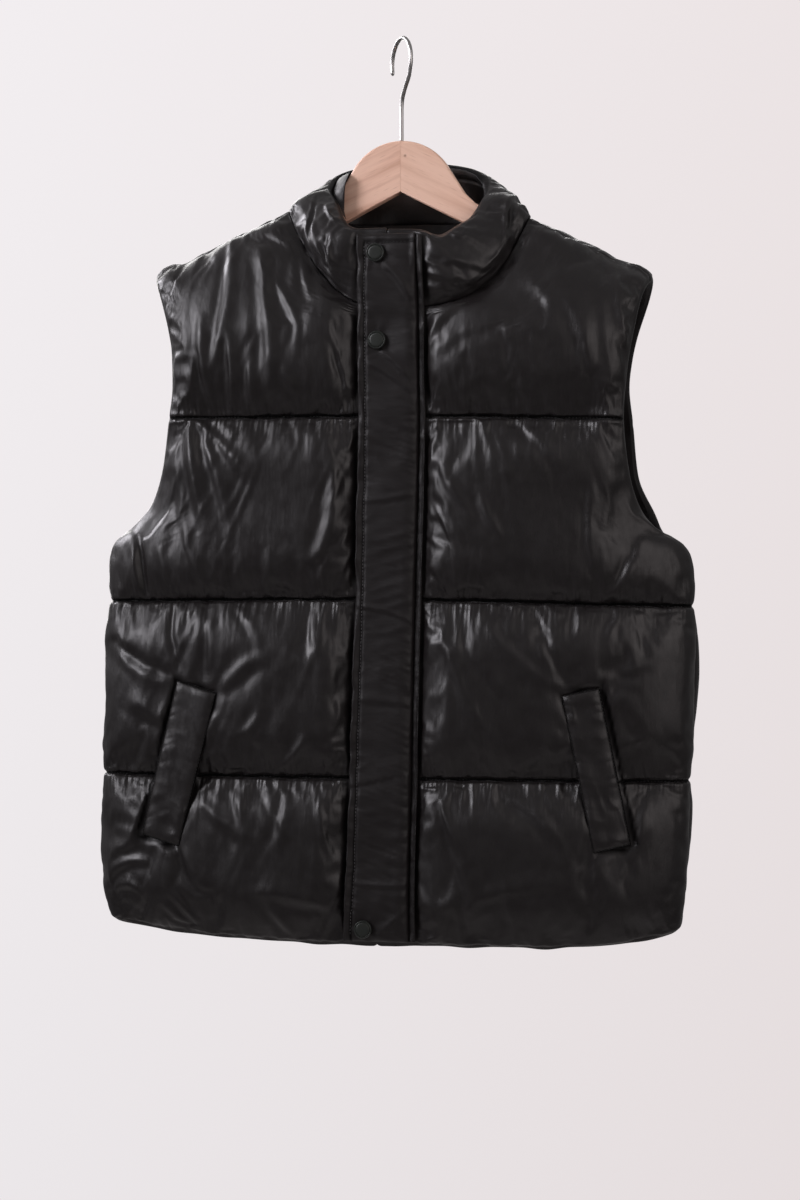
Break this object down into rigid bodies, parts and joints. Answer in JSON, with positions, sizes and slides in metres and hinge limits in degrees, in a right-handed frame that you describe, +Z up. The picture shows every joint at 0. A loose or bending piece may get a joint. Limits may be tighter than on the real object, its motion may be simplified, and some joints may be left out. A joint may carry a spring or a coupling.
{
  "type": "puffer vest on a hanger",
  "caption": "Quilted puffer vest with a stand collar, snap placket and slanted pocket welts, hanging on a flat wooden hanger with a wire hook.",
  "frame": {"origin": "the inside top of the hook, where it rests on a rod", "axes": "+Z up, the front faces -Y, +X towards the wearer's left"},
  "size_m": [0.5711, 0.147, 0.8651],
  "materials": {
    "black_nylon": "semi-gloss quilted nylon",
    "snap_cap": "matte greenish black",
    "hanger_beech": "satin varnish",
    "hook_steel": "polished wire"
  },
  "bodies": {
    "root": {"front_right": "black_nylon", "front_left": "black_nylon", "back": "black_nylon", "collar": "black_nylon", "placket": "black_nylon", "placket_edging": "black_nylon", "pocket_welt_right": "black_nylon", "pocket_welt_left": "black_nylon", "snap_collar": "snap_cap", "snap_chest": "snap_cap", "snap_hem": "snap_cap", "hanger_wood": "hanger_beech", "hanger_hook": "hook_steel"}
  },
  "joints": []
}
